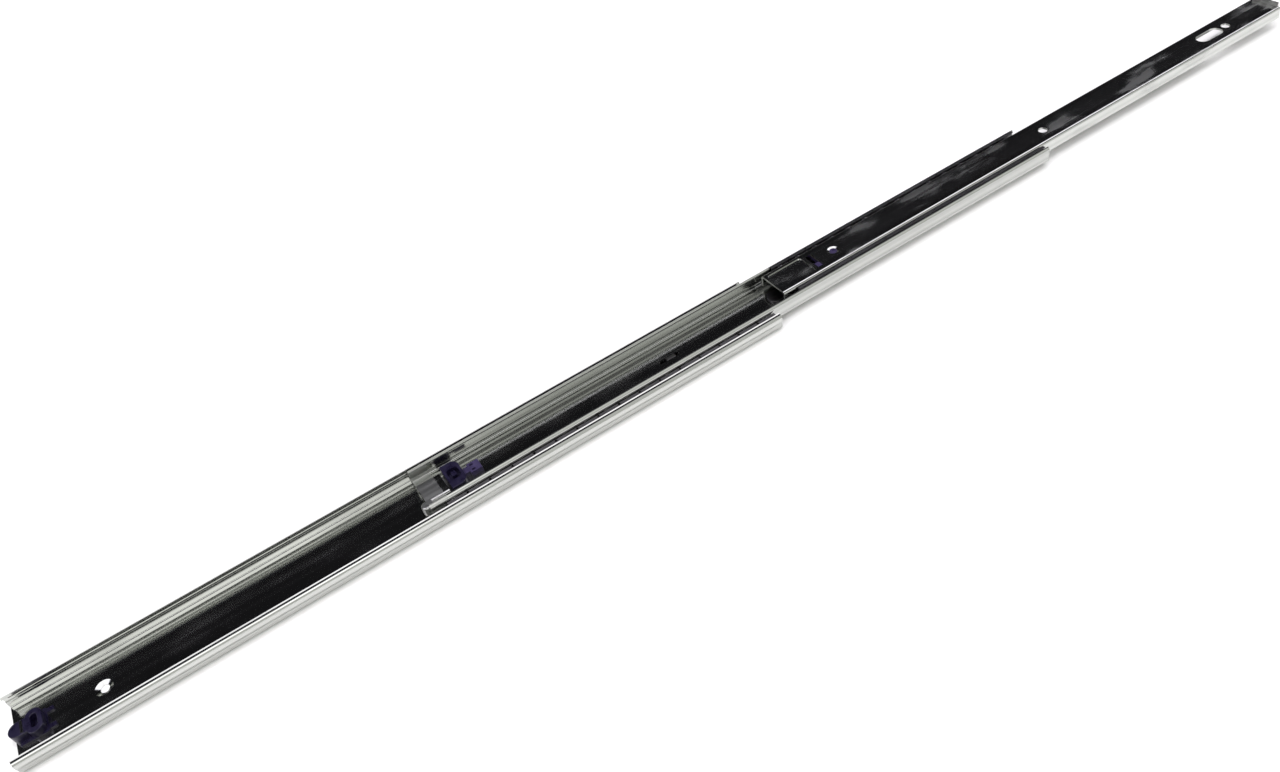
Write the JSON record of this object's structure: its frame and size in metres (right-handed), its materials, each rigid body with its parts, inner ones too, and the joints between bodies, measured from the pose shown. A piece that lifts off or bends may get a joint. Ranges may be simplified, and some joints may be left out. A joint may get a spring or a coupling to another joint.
{
  "type": "drawer slide",
  "caption": "Full-extension ball-bearing drawer slide: three nested steel channels, ball cages, plastic bumper, stopper and catch, shown pulled out.",
  "frame": {"origin": "on the back face of the outer (cabinet) member, on its centre line, at its front end", "axes": "+X along the slide towards the front, the way the drawer pulls out; +Y across the rail; +Z out of the cabinet side, from the outer member's back face to the drawer face"},
  "size_m": [0.902, 0.0454, 0.0164],
  "materials": {
    "zinc_steel": "bright zinc plated, drawn grain along the rail",
    "cage_steel": "greased strip steel",
    "ball_steel": "polished",
    "navy_plastic": "satin moulded acetal",
    "violet_plastic": "satin moulded acetal"
  },
  "bodies": {
    "cabinet_rail": {"outer_member": "zinc_steel", "rear_bumper": "navy_plastic"},
    "intermediate_rail": {"intermediate_member": "zinc_steel", "rear_stopper": "navy_plastic", "detent_tail": "violet_plastic"},
    "drawer_rail": {"inner_member": "zinc_steel", "inner_catch": "violet_plastic"},
    "outer_cage": {"outer_ball_cage": "cage_steel", "outer_balls_near": "ball_steel", "outer_balls_far": "ball_steel"},
    "inner_cage": {"inner_ball_cage": "cage_steel", "inner_balls_near": "ball_steel", "inner_balls_far": "ball_steel"}
  },
  "joints": [
    {"name": "intermediate_slide", "type": "slide", "parent": "cabinet_rail", "child": "intermediate_rail", "axis": [1, 0, 0], "range_m": [-0.221, 0]},
    {"name": "drawer_slide", "type": "slide", "parent": "intermediate_rail", "child": "drawer_rail", "axis": [1, 0, 0], "range_m": [-0.23, 0]},
    {"name": "outer_cage_roll", "type": "slide", "parent": "cabinet_rail", "child": "outer_cage", "axis": [1, 0, 0], "range_m": [-0.1105, 0]},
    {"name": "inner_cage_roll", "type": "slide", "parent": "intermediate_rail", "child": "inner_cage", "axis": [1, 0, 0], "range_m": [-0.115, 0]}
  ],
  "couplings": [
    {"joint": "outer_cage_roll", "follows": "intermediate_slide", "ratio": 0.5},
    {"joint": "inner_cage_roll", "follows": "drawer_slide", "ratio": 0.5}
  ]
}
